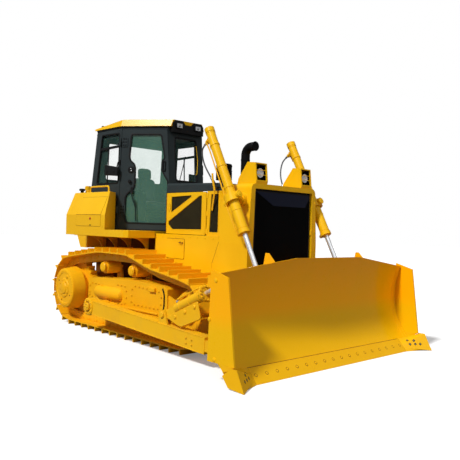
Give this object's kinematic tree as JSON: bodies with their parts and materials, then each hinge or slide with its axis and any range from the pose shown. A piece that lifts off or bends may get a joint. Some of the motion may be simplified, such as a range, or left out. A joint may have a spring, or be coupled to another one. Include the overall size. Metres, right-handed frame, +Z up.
{
  "type": "bulldozer",
  "caption": "Crawler bulldozer with a straight tilting blade on push arms, two lift cylinders, an enclosed six-sided cab and side tanks.",
  "frame": {"origin": "centre of the machine's plan box on the ground", "axes": "+X forward to the blade, +Y to the operator's left, +Z up"},
  "size_m": [5.284, 3.466, 3.171],
  "materials": {
    "yellow_paint": "semi-gloss golden yellow enamel, dusty",
    "black_paint": "satin black enamel",
    "grey_paint": "satin dark slate grey enamel",
    "steel": "worn bare steel",
    "chrome": "polished hard chrome",
    "rubber": "matt black hose rubber",
    "glass": "tinted glass",
    "lamp_glass": "clear lamp lens",
    "upholstery": "black woven cloth"
  },
  "bodies": {
    "machine": {"air_precleaner": "black_paint", "belly_guard": "yellow_paint", "cab_frame": "grey_paint", "cab_glass": "glass", "cab_roof": "yellow_paint", "cab_visor": "black_paint", "carrier_rollers": "yellow_paint", "controls": "black_paint", "drawbar": "yellow_paint", "engine_block": "black_paint", "equalizer_bar": "yellow_paint", "exhaust_stack": "black_paint", "front_grille": "black_paint", "fuel_tank": "yellow_paint", "grab_rails": "yellow_paint", "hood": "black_paint", "hood_lamps": "yellow_paint", "idler_left": "yellow_paint", "idler_right": "yellow_paint", "lift_hose_left": "rubber", "lift_hose_right": "rubber", "main_frame": "yellow_paint", "operator_seat": "upholstery", "platform": "yellow_paint", "radiator_guard": "yellow_paint", "roof_lamps": "lamp_glass", "side_box_left": "yellow_paint", "side_box_right": "yellow_paint", "side_panel_left": "yellow_paint", "side_panel_right": "yellow_paint", "sprocket_left": "yellow_paint", "sprocket_right": "yellow_paint", "track_frame_left": "yellow_paint", "track_frame_right": "yellow_paint", "track_left": "yellow_paint", "track_right": "yellow_paint", "track_rollers": "yellow_paint"},
    "lift_ball": {"trunnion_ball_left": "steel"},
    "blade": {"moldboard": "yellow_paint", "cutting_edge": "yellow_paint", "end_bits": "yellow_paint", "push_arm_left": "yellow_paint", "blade_brace": "yellow_paint"},
    "right_arm": {"push_arm_right": "yellow_paint", "trunnion_ball_right": "steel"},
    "tilt_barrel": {"tilt_barrel": "yellow_paint"},
    "tilt_rod": {"tilt_rod": "chrome"},
    "cab_door_right": {"cab_door_right": "grey_paint", "door_glass_right": "glass"},
    "cab_door_left": {"cab_door_left": "grey_paint", "door_glass_left": "glass"},
    "engine_door_right": {"engine_door_right": "yellow_paint"},
    "engine_door_left": {"engine_door_left": "yellow_paint"},
    "lift_yoke_right": {"lift_yoke_right": "yellow_paint"},
    "lift_barrel_right": {"lift_barrel_right": "yellow_paint"},
    "lift_rod_right": {"lift_rod_right": "chrome"},
    "lift_yoke_left": {"lift_yoke_left": "yellow_paint"},
    "lift_barrel_left": {"lift_barrel_left": "yellow_paint"},
    "lift_rod_left": {"lift_rod_left": "chrome"}
  },
  "joints": [
    {"name": "blade_lift", "type": "hinge", "parent": "machine", "child": "lift_ball", "pos_m": [-0.952, 1.345, 0.4], "axis": [0, -1, 0], "range_deg": [-9, 14]},
    {"name": "blade_tilt", "type": "hinge", "parent": "lift_ball", "child": "blade", "pos_m": [-0.952, 1.345, 0.4], "axis": [0.9204, -0.388, -0.0491], "range_deg": [-5, 5]},
    {"name": "right_arm_swing", "type": "hinge", "parent": "lift_ball", "child": "right_arm", "pos_m": [-0.952, -1.345, 0.4], "axis": [0, -1, 0], "range_deg": [-2.5, 2.5]},
    {"name": "tilt_cylinder_swing", "type": "hinge", "parent": "right_arm", "child": "tilt_barrel", "pos_m": [0.822, -1.345, 0.504], "axis": [0.3711, -0.4045, -0.8359], "range_deg": [-3.2, 3.2]},
    {"name": "tilt_cylinder_stroke", "type": "slide", "parent": "tilt_barrel", "child": "tilt_rod", "axis": [0.914, 0, 0.4058], "range_m": [-0.0515, 0.0515]},
    {"name": "lift_yoke_swing_right", "type": "hinge", "parent": "machine", "child": "lift_yoke_right", "pos_m": [1.313, -0.762, 1.925], "axis": [0, -1, 0], "range_deg": [-8, 12.5], "deforming": ["lift_hose_right"]},
    {"name": "lift_barrel_swing_right", "type": "hinge", "parent": "lift_yoke_right", "child": "lift_barrel_right", "pos_m": [1.313, -0.762, 1.925], "axis": [0.8777, 0, 0.4792], "range_deg": [-2.2, 2.2]},
    {"name": "lift_stroke_right", "type": "slide", "parent": "lift_barrel_right", "child": "lift_rod_right", "axis": [0.4792, 0, -0.8777], "range_m": [-0.67, 0.43]},
    {"name": "lift_yoke_swing_left", "type": "hinge", "parent": "machine", "child": "lift_yoke_left", "pos_m": [1.313, 0.762, 1.925], "axis": [0, -1, 0], "range_deg": [-8, 12.5], "deforming": ["lift_hose_left"]},
    {"name": "lift_barrel_swing_left", "type": "hinge", "parent": "lift_yoke_left", "child": "lift_barrel_left", "pos_m": [1.313, 0.762, 1.925], "axis": [0.8777, 0, 0.4792], "range_deg": [-2.2, 2.2]},
    {"name": "lift_stroke_left", "type": "slide", "parent": "lift_barrel_left", "child": "lift_rod_left", "axis": [0.4792, 0, -0.8777], "range_m": [-0.67, 0.43]},
    {"name": "cab_door_right_hinge", "type": "hinge", "parent": "machine", "child": "cab_door_right", "pos_m": [-1.26171, -0.8172, 1.491], "axis": [0.0118, -0.0384, -0.9992], "range_deg": [0, 80]},
    {"name": "cab_door_left_hinge", "type": "hinge", "parent": "machine", "child": "cab_door_left", "pos_m": [-1.26171, 0.8172, 1.491], "axis": [-0.0118, -0.0384, 0.9992], "range_deg": [0, 80]},
    {"name": "engine_door_right_hinge", "type": "hinge", "parent": "machine", "child": "engine_door_right", "pos_m": [0.623, -0.611, 1.75], "axis": [0, 0, 1], "range_deg": [0, 85]},
    {"name": "engine_door_left_hinge", "type": "hinge", "parent": "machine", "child": "engine_door_left", "pos_m": [0.623, 0.611, 1.75], "axis": [0, 0, -1], "range_deg": [0, 85]}
  ],
  "couplings": [
    {"joint": "right_arm_swing", "follows": "blade_tilt", "ratio": -0.48684},
    {"joint": "tilt_cylinder_swing", "follows": "blade_tilt", "ratio": 0.62263},
    {"joint": "tilt_cylinder_stroke", "follows": "blade_tilt", "m_per_rad": -0.57873},
    {"joint": "lift_yoke_swing_right", "follows": "blade_lift", "ratio": 0.87},
    {"joint": "lift_barrel_swing_right", "follows": "blade_tilt", "ratio": -0.42549},
    {"joint": "lift_stroke_right", "follows": "blade_lift", "m_per_rad": -2.715},
    {"joint": "lift_yoke_swing_left", "follows": "blade_lift", "ratio": 0.87},
    {"joint": "lift_barrel_swing_left", "follows": "blade_tilt", "ratio": -0.42549},
    {"joint": "lift_stroke_left", "follows": "blade_lift", "m_per_rad": -2.715}
  ]
}
